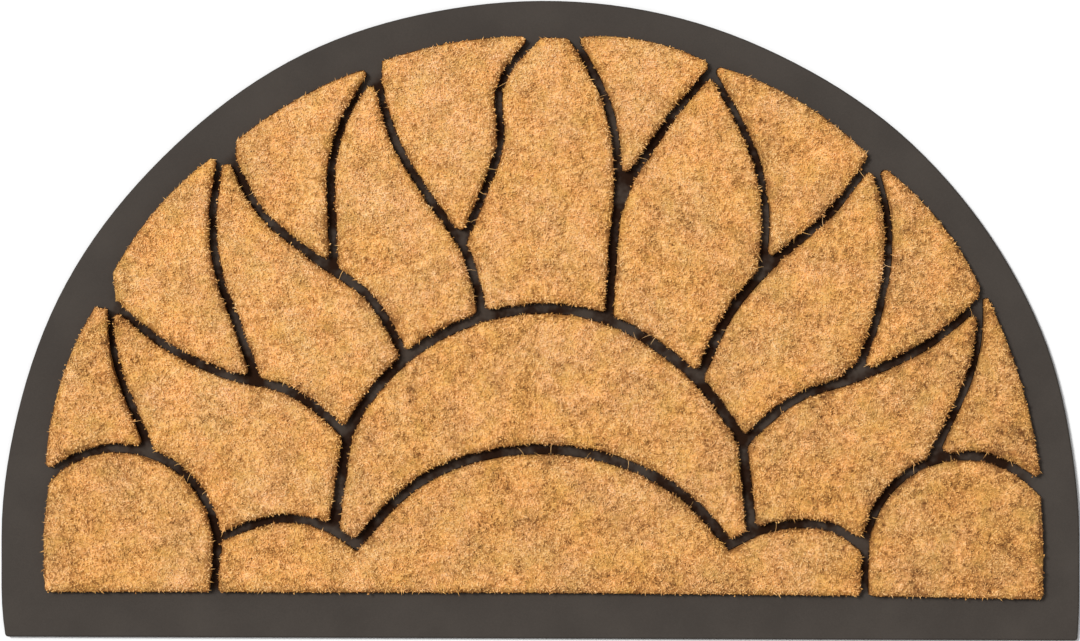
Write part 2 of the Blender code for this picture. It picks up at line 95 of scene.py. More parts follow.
def spread(tree, value, low, high, to_low=0.0, to_high=1.0):
    """A value moved from one range to another, with soft ends."""
    made = put(tree, "ShaderNodeMapRange", {
        "Value": value, "From Min": low, "From Max": high, "To Min": to_low, "To Max": to_high},
        interpolation_type="SMOOTHSTEP")
    return made.outputs["Result"]


def colour_mix(tree, share, first, second, blend="MIX"):
    """A colour between two others. Inputs 6 and 7 and output 2 are the mix node's colour sockets."""
    made = put(tree, "ShaderNodeMix", {0: share, 6: first, 7: second}, data_type="RGBA", blend_type=blend)
    return made.outputs[2]


def math_node(tree, operation, first, second=0.0):
    """The result of a sum on two values."""
    return put(tree, "ShaderNodeMath", {0: first, 1: second}, operation=operation).outputs[0]


rubber = bpy.data.materials.new("moulded_rubber_face")
rubber.use_nodes = True
tree = rubber.node_tree
face = tree.nodes["Principled BSDF"]
place = put(tree, "ShaderNodeTexCoord").outputs["Object"]
from_fan = put(tree, "ShaderNodeVectorMath", {0: place, 1: FAN_CENTRE}, operation="SUBTRACT").outputs[0]
axes = put(tree, "ShaderNodeSeparateXYZ", {0: from_fan})
flat_from_fan = put(tree, "ShaderNodeCombineXYZ", {0: axes.outputs["X"], 1: axes.outputs["Y"]}).outputs[0]
reach = put(tree, "ShaderNodeVectorMath", {0: flat_from_fan}, operation="LENGTH").outputs["Value"]
within_rim = spread(tree, reach, CHANNEL_REACH + REACH_SOFTNESS, CHANNEL_REACH - REACH_SOFTNESS)
behind_front = spread(tree, axes.outputs["Y"], FIELD_FRONT - FAN_CENTRE[1] - FRONT_SOFTNESS,
                      FIELD_FRONT - FAN_CENTRE[1] + FRONT_SOFTNESS)
in_field = math_node(tree, "MULTIPLY", within_rim, behind_front)
cloud = noise(tree, place, *CLOUDS)
grain = noise(tree, place, *GRAINS)
mottle = math_node(tree, "ADD", math_node(tree, "MULTIPLY", cloud, CLOUD_SHARE),
                   math_node(tree, "MULTIPLY", grain, 1.0 - CLOUD_SHARE))
border_colour = colour_mix(tree, spread(tree, mottle, *CLOUD_RANGE), RUBBER_DARK, RUBBER_PALE)
smear = spread(tree, noise(tree, place, *SMEARS), *SMEAR_RANGE)
# The channel floors get painted shade, broken by paler smears
channel_shade_colour = colour_mix(tree, smear, CHANNEL_PAINTED_SHADE, CHANNEL_SMEAR)
facing = put(tree, "ShaderNodeSeparateXYZ", {0: put(tree, "ShaderNodeNewGeometry").outputs["True Normal"]})
# Painted shade on the lip, by how far the face turns from level
lip = math_node(tree, "MULTIPLY", spread(tree, facing.outputs["Z"], *LIP_RANGE), LIP_SHARE)
border_colour = colour_mix(tree, lip, border_colour, LIP_PAINTED_SHADE)
tree.links.new(colour_mix(tree, in_field, border_colour, channel_shade_colour), face.inputs["Base Color"])
tree.links.new(spread(tree, cloud, *CLOUD_RANGE, *RUBBER_ROUGHNESS), face.inputs["Roughness"])
dimple = math_node(tree, "ADD", grain, noise(tree, place, *DIMPLES))
bump = put(tree, "ShaderNodeBump", {"Height": dimple, "Distance": DIMPLE_DEPTH, "Strength": DIMPLE_STRENGTH})
tree.links.new(bump.outputs["Normal"], face.inputs["Normal"])
face.inputs["Specular IOR Level"].default_value = RUBBER_SHINE

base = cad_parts["rubber_base"]
base.data.materials.clear()
base.data.materials.append(rubber)


# Coir colour. Coir is the husk fibre of the coconut: golden where the clipped ends catch the light, with
# painted shade that turns it brown down in the pile and in small pits, paler, yellower and redder fibres,
# and a slow drift over the mat.
# The deepest colour is painted shade, down in the pile and in small pits
COIR_DEEP_SHADE = (0.155, 0.058, 0.015, 1.0)
COIR_BROWN = (0.48, 0.225, 0.062, 1.0)
COIR_GOLD = (0.83, 0.458, 0.152, 1.0)
COIR_STRAW = (0.96, 0.62, 0.29, 1.0)
COIR_YELLOW = (0.76, 0.44, 0.115, 1.0)
COIR_RED = (0.60, 0.25, 0.085, 1.0)
COIR_STOPS = ((0.28, COIR_BROWN), (0.60, COIR_GOLD), (1.0, COIR_STRAW))
COIR_ROUGHNESS = 0.85
COIR_SHINE = 0.18
UPRIGHT_STRETCH = (1.0, 1.0, 0.15)
# By height in the pile: the place on the ramp, which paints shade deep in the pile, and how much the colour
# varies there
RISE_LEVELS = (0.0, 1.0, 0.15, 0.79)
RISE_LIVELINESS = (0.08, 0.50, 0.18, 1.0)
# Slow drift: duller towards the front right, and at the far left and right
DRIFT_WAY = (-0.5, 0.65, 0.0)
DRIFT_RANGE = (-0.25, 0.20, -0.10, 0.04)
OUTER_RANGE = (0.23, 0.36, 0.0, -0.09)
# Patches: size, detail, roughness, and how far they move the colour along the ramp
PATCHES = ((55.0 * MM, 3.0, 0.6, 0.26), (19.0 * MM, 2.0, 0.5, 0.50),
           (4.2 * MM, 2.0, 0.5, 0.95), (2.2 * MM, 1.0, 0.5, 0.80))
STRAND_TURNS = (12.0, 74.0, 133.0)
STRAND_SIZE = (0.5 * MM, 2.6 * MM, 0.9 * MM)
STRAND_MIDDLE = 0.59
STRAND_AMOUNT = 0.36
TONE_AMOUNT = 0.22
# Stained fibres, and small pits of painted shade in the deepest colour: size, detail, range of the noise with
# the share of each over it, and colour
STAINS_AND_PIT_SHADE = ((16.0 * MM, 2.0, (0.48, 0.68, 0.0, 0.35), COIR_YELLOW),
          (2.6 * MM, 1.0, (0.68, 0.82, 0.0, 0.30), COIR_RED),
          (2.0 * MM, 0.0, (0.22, 0.15, 0.0, 0.9), COIR_DEEP_SHADE))
# Slow changes of hue: size, and the tints at either end, golden to bleached and greenish to pinkish
TINTS = ((48.0 * MM, (1.022, 0.994, 0.91, 1.0), (0.978, 1.006, 1.09, 1.0)),
         (22.0 * MM, (0.988, 1.011, 0.980, 1.0), (1.012, 0.989, 1.020, 1.0)))
TINT_DETAIL = 4.0
TINT_ROUGHNESS = 0.6
TINT_RANGE = (0.36, 0.64)

coir_colour = bpy.data.node_groups.new("coir_colour", "ShaderNodeTree")
coir_colour.interface.new_socket("Tone", in_out="INPUT", socket_type="NodeSocketFloat")
coir_colour.interface.new_socket("Rise", in_out="INPUT", socket_type="NodeSocketFloat")
coir_colour.interface.new_socket("Color", in_out="OUTPUT", socket_type="NodeSocketColor")
coir_colour.interface.new_socket("Grain", in_out="OUTPUT", socket_type="NodeSocketFloat")
tree = coir_colour
group_in = tree.nodes.new("NodeGroupInput")
group_out = tree.nodes.new("NodeGroupOutput")
place = put(tree, "ShaderNodeTexCoord").outputs["Object"]
place = put(tree, "ShaderNodeVectorMath", {0: place, 1: UPRIGHT_STRETCH}, operation="MULTIPLY").outputs[0]
strands = 0.0
for turn in STRAND_TURNS:
    laid = put(tree, "ShaderNodeMapping", {
        "Vector": place, "Rotation": (0.0, 0.0, math.radians(turn)), "Scale": STRAND_SIZE},
        vector_type="TEXTURE")
    strand = put(tree, "ShaderNodeTexNoise", {"Vector": laid.outputs[0], "Scale": 1.0, "Detail": 1.0})
    strands = math_node(tree, "MAXIMUM", strand.outputs["Fac"], strands)
toward = put(tree, "ShaderNodeVectorMath", {0: place, 1: DRIFT_WAY}, operation="DOT_PRODUCT").outputs["Value"]
outward = math_node(tree, "ABSOLUTE", put(tree, "ShaderNodeSeparateXYZ", {0: place}).outputs["X"])
variation = math_node(tree, "ADD", spread(tree, toward, *DRIFT_RANGE), spread(tree, outward, *OUTER_RANGE))
sources = [(noise(tree, place, size, detail, roughness), 0.5, amount)
           for size, detail, roughness, amount in PATCHES]
sources += [(strands, STRAND_MIDDLE, STRAND_AMOUNT), (group_in.outputs["Tone"], 0.5, TONE_AMOUNT)]
for value, middle, amount in sources:
    off_middle = math_node(tree, "SUBTRACT", value, middle)
    variation = math_node(tree, "ADD", variation, math_node(tree, "MULTIPLY", off_middle, amount))
rise = group_in.outputs["Rise"]
variation = math_node(tree, "MULTIPLY", variation, spread(tree, rise, *RISE_LIVELINESS))
# The height in the pile sets the place on the ramp, with painted shade deep down
level = math_node(tree, "ADD", spread(tree, rise, *RISE_LEVELS), variation)
ramp = put(tree, "ShaderNodeValToRGB", {"Fac": level})
stops = ramp.color_ramp.elements
stops[0].color = COIR_DEEP_SHADE
stops[1].position, stops[1].color = COIR_STOPS[-1]
for position, colour in COIR_STOPS[:-1]:
    stops.new(position).color = colour
coloured = ramp.outputs["Color"]
# Yellower and redder stained fibres, and small pits of painted shade
for size, detail, spot_range, spot_colour in STAINS_AND_PIT_SHADE:
    share = spread(tree, noise(tree, place, size, detail), *spot_range)
    coloured = colour_mix(tree, share, coloured, spot_colour)
for size, first, second in TINTS:
    share = spread(tree, noise(tree, place, size, TINT_DETAIL, TINT_ROUGHNESS), *TINT_RANGE)
    coloured = colour_mix(tree, 1.0, coloured, colour_mix(tree, share, first, second), "MULTIPLY")
tree.links.new(coloured, group_out.inputs["Color"])
tree.links.new(strands, group_out.inputs["Grain"])


def coir_material(name, bump_height):
    """Dull coir that takes its tone and its height in the pile, which sets its painted shade, from the mesh.
    """
    material = bpy.data.materials.new(name)
    material.use_nodes = True
    tree = material.node_tree
    surface = tree.nodes["Principled BSDF"]
    surface.inputs["Roughness"].default_value = COIR_ROUGHNESS
    surface.inputs["Specular IOR Level"].default_value = COIR_SHINE
    tone = put(tree, "ShaderNodeAttribute", attribute_name="tone").outputs["Fac"]
    rise = put(tree, "ShaderNodeAttribute", attribute_name="rise").outputs["Fac"]
    group = put(tree, "ShaderNodeGroup", node_tree=coir_colour)
    tree.links.new(tone, group.inputs["Tone"])
    tree.links.new(rise, group.inputs["Rise"])
    tree.links.new(group.outputs["Color"], surface.inputs["Base Color"])
    if bump_height:
        bump = put(tree, "ShaderNodeBump", {"Height": group.outputs["Grain"], "Distance": bump_height})
        tree.links.new(bump.outputs["Normal"], surface.inputs["Normal"])
    return material


# Coir beds. Each pad is a block of short upright fibres packed tight and clipped level. The bed is the
# packed mass: crumbly on top, worn round at its upper edge, ragged and ribbed down its sides.
PAD_NAMES = sorted(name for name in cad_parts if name.startswith("pad_"))
RIM_HEIGHT = 12.4 * MM
RIM_SLACK = 0.01 * MM
FIELD_RADIUS = 350.0 * MM
BORDER_HOLD = 9.0 * MM
BORDER_FADE = 3.0 * MM
BORDER_CALM = 0.7
BED_TOP = 13.0 * MM
BED_EASE = 5.0 * MM
BED_DROP = 2.8 * MM
BED_RIM_INSET = 0.6 * MM
BED_SPACING = 1.9 * MM
RIM_SPACING = 1.4 * MM
RIM_CLEAR = 0.9 * MM
STREW = 0.42
SHADE_PATCH_REACH = 9.0 * MM
SHADE_PATCH_AMOUNT = 0.9
# In mm: the rows down the wall, as inset and height; the seat's mouth; the wall's unevenness
BED_WALL = ((0.4, 8.6), (0.35, 7.2), (0.35, 6.0), (0.35, 5.2), (0.35, 4.9), (0.3, 3.9))
SEAT_LEVEL = 5.1
RIB_DEPTH = 0.2
ROW_WOBBLE = 0.12
# In mm: lumps on top and unevenness of the edge, as size and amount; sizes of the patches of painted edge
# shade and of crumbs
LUMP_SIZES = ((14.0, 0.16), (5.0, 0.16), (2.3, 0.30))
RAGGED_SIZES = ((9.0, 0.45), (3.6, 0.50))
SHADE_PATCH_SIZE = 7.0
CRUMB_SIZE = 2.3
# Height in the pile, which paints shade into the colour: on top, less at the edge by painted edge shade, and
# from the wall's foot to its top row, darkest at the foot
TOP_RISE = 0.50
CRUMB_RISE = 0.1
EDGE_PAINTED_SHADE = 0.42
FOOT_OF_WALL = 3.9
HEIGHT_OF_WALL = 5.5
WALL_RISE = (0.04, 0.36)
TOP_TONES = 0.2
WALL_TONES = 0.5
# The bake map: the top lies above, the wall's rows in strips below it, the underside in one corner
MAP_TOP_SIZE = 0.8
MAP_TOP_FROM = 0.2
MAP_WALL_FROM = 0.18
MAP_STRIP = 0.03
MAP_UNDER = 0.995
MAP_UNDER_REACH = 0.003
SEED = 11
LATTICE_CELLS = 257
LATTICE_START = 500.0
BED_BUMP = 0.5 * MM
bed_material = coir_material("coir_bed", BED_BUMP)
lattice = np.random.default_rng(SEED).uniform(-1.0, 1.0, (LATTICE_CELLS, LATTICE_CELLS))


def signed_area(outline):
    """The area within an outline, positive when it runs counter-clockwise."""
    x, y = outline.T
    return np.sum(x * np.roll(y, -1) - np.roll(x, -1) * y) / 2


def pad_rim(node):
    """The widest outline of a packed pad, counter-clockwise, in metres."""
    places = [tuple(round(value, 7) for value in vertex.co) for vertex in node.data.vertices]
    onward = {}
    for edge in node.data.edges:
        first, second = (places[index] for index in edge.vertices)
        if abs(first[2] - RIM_HEIGHT) < RIM_SLACK and abs(second[2] - RIM_HEIGHT) < RIM_SLACK:
            onward.setdefault(first, set()).add(second)
            onward.setdefault(second, set()).add(first)
    rim = [min(onward)]
    while len(rim) < len(onward):
        rim.append(next(there for there in sorted(onward[rim[-1]]) if there not in rim[-2:]))
    outline = np.array(rim)[:, :2]
    return outline if signed_area(outline) > 0 else outline[::-1]


def even_ring(outline, spacing):
    """Evenly spaced points round an outline, and the way out at each."""
    closed = np.vstack([outline, outline[:1]])
    travelled = np.append(0.0, np.cumsum(np.linalg.norm(np.diff(closed, axis=0), axis=1)))
    count = round(travelled[-1] / spacing)
    at = np.arange(count) * travelled[-1] / count
    ring = np.column_stack([np.interp(at, travelled, closed[:, axis]) for axis in (0, 1)])
    along = np.roll(ring, -1, axis=0) - np.roll(ring, 1, axis=0)
    along /= np.linalg.norm(along, axis=1)[:, None]
    return ring, np.column_stack([along[:, 1], -along[:, 0]])


def inside(points, outline):
    """Which points lie within an outline."""
    x, y = points.T
    within = np.zeros(len(points), bool)
    for (ax, ay), (bx, by) in zip(outline, np.roll(outline, -1, axis=0)):
        if ay != by:
            within ^= ((ay > y) != (by > y)) & (x < ax + (y - ay) * (bx - ax) / (by - ay))
    return within


def edge_gap(points, outline):
    """Each point's distance from an outline, and the way to it."""
    gap = np.full(len(points), np.inf)
    way = np.zeros_like(points)
    for start, end in zip(outline, np.roll(outline, -1, axis=0)):
        along = end - start
        share = np.clip((points - start) @ along / (along @ along), 0.0, 1.0)
        across = start + share[:, None] * along - points
        distance = np.linalg.norm(across, axis=1)
        nearer = distance < gap
        gap[nearer] = distance[nearer]
        way[nearer] = across[nearer] / np.maximum(distance[nearer], 1e-9)[:, None]
    return gap, way


def scattered(outline, spacing, rng):
    """Points strewn evenly but not in rows over an outline's area."""
    low = outline.min(axis=0)
    columns, rows = np.ceil((outline.max(axis=0) - low) / spacing).astype(int) + 1
    grid = np.stack(np.meshgrid(np.arange(columns), np.arange(rows)), axis=-1).reshape(-1, 2).astype(float)
    grid[:, 0] += 0.5 * (grid[:, 1] % 2)
    points = low + (grid + rng.uniform(-STREW, STREW, grid.shape)) * spacing
    return points[inside(points, outline)]


def lumps(points, size):
    """Smooth random heights from -1 to 1, in lumps of a size, the same wherever they are asked for."""
    scaled = points / (size * MM) + LATTICE_START
    corner = np.floor(scaled).astype(int)
    share = scaled - corner
    across, up = (share * share * (3 - 2 * share)).T
    i, j = corner.T % LATTICE_CELLS
    next_i, next_j = (i + 1) % LATTICE_CELLS, (j + 1) % LATTICE_CELLS
    near = lattice[i, j] * (1 - across) + lattice[next_i, j] * across
    far = lattice[i, next_j] * (1 - across) + lattice[next_i, next_j] * across
    return near * (1 - up) + far * up


def looseness(points):
    """How freely the coir stands at each point: 1 along the channels, less where the border holds it."""
    reach = np.linalg.norm(points - FAN_CENTRE[:2], axis=1)
    past = np.maximum(reach - FIELD_RADIUS, FIELD_FRONT - points[:, 1]) + BORDER_HOLD
    return 1.0 - BORDER_CALM * np.clip(past / BORDER_FADE, 0.0, 1.0)


def ragged(points):
    """How far the edge of the coir stands out of its even outline near each point."""
    return looseness(points) * sum(lumps(points, size) * amount * MM for size, amount in RAGGED_SIZES)


def edge_wear_and_shade(gap):
    """How worn the coir is at a distance from its edge, which is also how much painted shade it gets there: 1
    at the edge, 0 inside.
    """
    return np.clip(1.0 - gap / BED_EASE, 0.0, 1.0) ** 2


def bed_height(points, gap):
    """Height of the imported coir: worn down at the edge, lumpy all over."""
    relief = sum(lumps(points, size) * amount * MM for size, amount in LUMP_SIZES)
    return BED_TOP - BED_DROP * edge_wear_and_shade(gap) + relief


def edge_shade(points, gap):
    """How much painted shade darkens the coir near the edge: 1 at the edge, 0 inside, and reaching further in
    random patches.
    """
    shade_patches = np.clip(1.0 - gap / SHADE_PATCH_REACH, 0.0, 1.0) * np.clip(lumps(points, SHADE_PATCH_SIZE), 0.0, 1.0)
    return np.clip(edge_wear_and_shade(gap) + SHADE_PATCH_AMOUNT * looseness(points) * shade_patches, 0.0, 1.0)


def make_piece(name, places, faces, material, tone, rise, bake_places):
    """A mesh object with its tones, its heights in the pile, its bake map and its material."""
    mesh = bpy.data.meshes.new(name)
    mesh.from_pydata(places, [], faces)
    mesh.attributes.new("tone", "FLOAT", "POINT").data.foreach_set("value", np.asarray(tone, np.float32))
    mesh.attributes.new("rise", "FLOAT", "POINT").data.foreach_set("value", np.asarray(rise, np.float32))
    mesh.uv_layers.new(name="OFBake").data.foreach_set("uv", np.asarray(bake_places, np.float32).ravel())
    mesh.materials.append(material)
    piece = bpy.data.objects.new(name, mesh)
    bpy.context.scene.collection.objects.link(piece)
    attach(piece, "root")
    return piece


def filled_top(rim, inner):
    """The top as points and triangles within a rim, and the number that each rim point has there."""
    count = len(rim)
    points = [Vector(point) for point in np.vstack([rim, inner])]
    loop = [(index, (index + 1) % count) for index in range(count)]
    found = delaunay_2d_cdt(points, loop, [], 1, 1e-9, True)
    flat = np.array([tuple(point) for point in found[0]])
    number = {old: new for new, ids in enumerate(found[3]) for old in ids}
    triangles = np.array(found[2])
    triangles = triangles[inside(flat[triangles].mean(axis=1), rim)]
    return flat, triangles, [number[index] for index in range(count)]


def make_bed(name, outline, rng):
    """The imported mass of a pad, as one closed mesh."""
    ring, out = even_ring(outline, RIM_SPACING)
    count = len(ring)
    rib = (ragged(ring) + rng.uniform(-RIB_DEPTH, RIB_DEPTH, count) * MM)[:, None]
    top_rim = ring - out * BED_RIM_INSET + out * rib
    inner = scattered(outline, BED_SPACING, rng)
    inner = inner[edge_gap(inner, top_rim)[0] > RIM_CLEAR]
    inner = inner[inside(inner, top_rim)]
    flat_top, triangles, upper = filled_top(top_rim, inner)
    faces = triangles.tolist()
    gap = edge_gap(flat_top, outline)[0]
    places = [np.column_stack([flat_top, bed_height(flat_top, gap)])]
    # Height in the pile for the colour, with painted shade taken off near the edge
    rise = [TOP_RISE + CRUMB_RISE * lumps(flat_top, CRUMB_SIZE) - EDGE_PAINTED_SHADE * edge_shade(flat_top, gap)]
    tone = [0.5 + TOP_TONES * rng.uniform(-1.0, 1.0, len(flat_top))]
    low = flat_top.min(axis=0)
    size = max(flat_top.max(axis=0) - low)
    flat_bake = (flat_top - low) / size * MAP_TOP_SIZE + (0.0, MAP_TOP_FROM)
    bake_places = flat_bake[triangles.ravel()].tolist()
    total = len(flat_top)
    for row, (inset, level) in enumerate(BED_WALL):
        wobble = rng.uniform(-ROW_WOBBLE, ROW_WOBBLE, count)[:, None] * MM
        wobble = rib + wobble if level > SEAT_LEVEL else -abs(wobble)
        places.append(np.column_stack([ring - out * (inset * MM) + out * wobble, np.full(count, level * MM)]))
        # Painted shade down the wall, darker towards its foot
        rise.append(np.full(count, WALL_RISE[0] + WALL_RISE[1] * (level - FOOT_OF_WALL) / HEIGHT_OF_WALL))
        tone.append(0.5 + rng.uniform(-WALL_TONES, WALL_TONES, count))
        lower = list(range(total, total + count))
        strip_top = MAP_WALL_FROM - row * MAP_STRIP
        strip_low = strip_top - MAP_STRIP
        for index in range(count):
            onward = (index + 1) % count
            faces.append((lower[index], lower[onward], upper[onward], upper[index]))
            left, right = index / count, (index + 1) / count
            bake_places += [(left, strip_low), (right, strip_low), (right, strip_top), (left, strip_top)]
        upper = lower
        total += count
    faces.append(tuple(reversed(upper)))
    turns = np.linspace(0.0, 2 * math.pi, count, endpoint=False)
    bake_places += np.column_stack([MAP_UNDER + MAP_UNDER_REACH * np.cos(turns),
                                    MAP_UNDER - MAP_UNDER_REACH * np.sin(turns)]).tolist()
    return make_piece(name, np.vstack(places).tolist(), faces, bed_material,
                      np.concatenate(tone), np.concatenate(rise), bake_places)


# Coir fibres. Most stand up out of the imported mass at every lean, pointed or bent over and cut blunt,
# and some lie along the top. At the sides they splay over the channel, and a few long hairs cross it.
# Lengths, widths and levels that are drawn at random are given in mm, leans and slants in radians.
FIBRE_SPACING = 1.09 * MM
FIBRE_ROOT = 0.45 * MM
FIBRE_EDGE = 0.45 * MM
FIBRE_LENGTHS = (1.4, 2.6)
FIBRE_WIDTHS = (0.55, 1.05)
FIBRE_LEANS = 0.6
FIBRE_LEAN_MOST = 1.15
EDGE_SPLAY = 0.6
BENT_SHARE = 0.32
BENT_STRETCH = (1.3, 2.3)
LYING_SHARE = 0.14
LYING_LENGTHS = (2.0, 3.8)
LYING_LEANS = (1.15, 1.42)
LYING_LIFT = 0.35 * MM
LYING_TONE = 0.45
CLUMP_SIZE = 2.4
CLUMP_SHARE = 0.35
# Height in the pile, which paints shade into the colour: of feet and tips, and the painted edge shade
# that both take near the edge
FOOT_RISE = 0.34
LYING_RISE = 0.75
TIP_RISE = 1.0
FOOT_PAINTED_EDGE_SHADE = 0.15
TIP_PAINTED_EDGE_SHADE = 0.75
SIDE_SPACING = 0.75 * MM
SIDE_INSET = 0.35 * MM
SIDE_FEET = (5.3, 9.0)
SIDE_LENGTHS = (2.5, 6.5)
SIDE_TIPS = (9.6, 12.2)
SIDE_SPLAY = (0.35, 0.45)
SIDE_SPLAY_LIMITS = (-0.3, 1.5)
SIDE_WIDTHS = (0.35, 0.7)
SIDE_TONES = (0.1, 0.9)
# The side fibres' heights in the pile give painted shade at their feet
SIDE_RISES = (0.05, 0.05, 0.05, 0.60)
HAIR_SPACING = 130.0 * MM
HAIR_FEWEST = 2
HAIR_STEPS = 5
HAIR_REACHES = (5.0, 11.0)
HAIR_SLANT = 1.1
HAIR_INSET = 2.5 * MM
HAIR_FEET = (11.0, 12.2)
HAIR_DROPS = (-2.5, 1.2)
HAIR_BOW = 0.16
HAIR_LIFT = 0.7 * MM
HAIR_HALF_WIDTHS = (0.15, 0.24)
HAIR_TAPER = 0.6
HAIR_TONES = (0.3, 1.0)
HAIR_RISE = 0.8
THIRD_OF_TURN = 2 * math.pi / 3
# A spike's four corners are three at its broad end and one at its point. Each fibre has a cell of its
# own in the bake map, with the broad end below and the sides above.
SPIKE_FACES = np.array([(0, 2, 1), (0, 1, 3), (1, 2, 3), (2, 0, 3)])
SPIKE_END_BAKE = [(0.1, 0.05), (0.9, 0.05), (0.5, 0.36)]
SPIKE_SIDE_BAKE = [(0.1, 0.42), (0.9, 0.42), (0.5, 0.95)]
SPIKE_BAKE = np.array([SPIKE_END_BAKE] + [SPIKE_SIDE_BAKE] * 3)
HAIR_FOOT_BAKE = [(0.1, 0.05), (0.5, 0.05), (0.9, 0.05)]
HAIR_TIP_BAKE = [(0.1, 0.95), (0.5, 0.95), (0.9, 0.95)]
CELL_EDGE = 0.1
CELL_WIDTH = 0.8
HAIR_SIDE_WIDTH = 0.27
fibre_material = coir_material("coir_fibres", 0.0)


def hair_pattern():
    """The triangles of one hair, a closed three-sided tube, and their corners in its cell of the map."""
    faces, bake = [(0, 1, 2)], [HAIR_FOOT_BAKE]
    for step in range(HAIR_STEPS):
        low = CELL_EDGE + CELL_WIDTH * step / HAIR_STEPS
        high = CELL_EDGE + CELL_WIDTH * (step + 1) / HAIR_STEPS
        for corner in range(3):
            near, onward = 3 * step + corner, 3 * step + (corner + 1) % 3
            left = CELL_EDGE + corner * HAIR_SIDE_WIDTH
            right = CELL_EDGE + (corner + 1) * HAIR_SIDE_WIDTH
            faces += [(near, near + 3, onward + 3), (near, onward + 3, onward)]
            bake.append([(left, low), (left, high), (right, high)])
            bake.append([(left, low), (right, high), (right, low)])
    last = 3 * HAIR_STEPS
    faces.append((last + 2, last + 1, last))
    bake.append(HAIR_TIP_BAKE)
    return np.array(faces), np.array(bake)


HAIR_FACES, HAIR_BAKE = hair_pattern()


def level_way(bearing, size):
    """Level vectors of given bearings and sizes."""
    return np.column_stack([np.cos(bearing), np.sin(bearing), np.zeros_like(bearing)]) * size[:, None]


def top_fibres(outline, rng):
    """Places, tones and heights in the pile of the spikes that stand or lie on a pad's top."""
    root = scattered(outline, FIBRE_SPACING, rng)
    gap, way_out = edge_gap(root, outline)
    kept = gap + ragged(root) > FIBRE_EDGE
    root, gap, way_out = root[kept], gap[kept], way_out[kept]
    count = len(root)
    draw = rng.uniform(0.0, 1.0, count)
    lying = draw < LYING_SHARE
    bent = (draw >= LYING_SHARE) & (draw < LYING_SHARE + BENT_SHARE)
    lean = np.where(lying, rng.uniform(*LYING_LEANS, count),
                    np.abs(rng.normal(0.0, FIBRE_LEANS, count)).clip(0.0, FIBRE_LEAN_MOST))
    length = np.where(lying, rng.uniform(*LYING_LENGTHS, count), rng.uniform(*FIBRE_LENGTHS, count)) * MM
    level = level_way(rng.uniform(0.0, 2 * math.pi, count), np.sin(lean))
    worn = edge_wear_and_shade(gap)
    level[:, :2] *= (1.0 - (1.0 - looseness(root)) * worn)[:, None]
    level[:, :2] += way_out * (EDGE_SPLAY * worn * looseness(root))[:, None]
    way = level + np.column_stack([np.zeros((count, 2)), np.cos(lean)])
    way /= np.linalg.norm(way, axis=1)[:, None]
    sunk = np.where(lying, -LYING_LIFT, FIBRE_ROOT)
    foot = np.column_stack([root, bed_height(root, gap) - sunk])
    tip = foot + way * length[:, None]
    width = rng.uniform(*FIBRE_WIDTHS, count) * MM
    facing = rng.uniform(0.0, 2 * math.pi, count)
    stretch = np.where(bent, rng.uniform(*BENT_STRETCH, count), 1.0)
    long_half = level_way(facing, width / 2 * stretch)
    wide_half = level_way(facing + math.pi / 2, width / 2)
    handed = np.where(bent, -1.0, 1.0)
    broad_end = np.where(bent[:, None], tip, foot)
    places = np.empty((count, 4, 3))
    for corner in range(3):
        turn = handed * corner * THIRD_OF_TURN
        places[:, corner] = broad_end + np.cos(turn)[:, None] * long_half + np.sin(turn)[:, None] * wide_half
    places[:, 3] = np.where(bent[:, None], foot, tip)
    clump = 0.5 + 0.5 * lumps(root, CLUMP_SIZE)
    tone = CLUMP_SHARE * clump + (1.0 - CLUMP_SHARE) * rng.uniform(0.0, 1.0, count)
    tone = np.where(lying, LYING_TONE + (1.0 - LYING_TONE) * tone, tone)
    # Painted shade near the edge lowers the height in the pile of feet and tips
    shade = edge_shade(root, gap)
    foot_rise = np.where(lying, LYING_RISE, FOOT_RISE) - FOOT_PAINTED_EDGE_SHADE * shade
    tip_rise = TIP_RISE - TIP_PAINTED_EDGE_SHADE * shade
    rise = np.where(bent[:, None], np.column_stack([tip_rise] * 3 + [foot_rise]),
                    np.column_stack([foot_rise] * 3 + [tip_rise]))
    return places, tone, rise


def side_fibres(ring, out, rng):
    """Places, tones and heights in the pile of the spikes that stand up a pad's sides."""
    count = len(ring)
    foot_level = rng.uniform(*SIDE_FEET, count)
    tip_level = np.minimum(foot_level + rng.uniform(*SIDE_LENGTHS, count), rng.uniform(*SIDE_TIPS, count))
    splay = rng.normal(*SIDE_SPLAY, count).clip(*SIDE_SPLAY_LIMITS) * MM * looseness(ring)
    foot = np.column_stack([ring - out * SIDE_INSET, foot_level * MM])
    width = rng.uniform(*SIDE_WIDTHS, count) * MM
    facing = rng.uniform(0.0, 2 * math.pi, count)
    places = np.empty((count, 4, 3))
    for corner in range(3):
        places[:, corner] = foot + level_way(facing + corner * THIRD_OF_TURN, width / 2)
    places[:, 3] = np.column_stack([ring + out * splay[:, None], tip_level * MM])
    return places, rng.uniform(*SIDE_TONES, count), np.tile(SIDE_RISES, (count, 1))


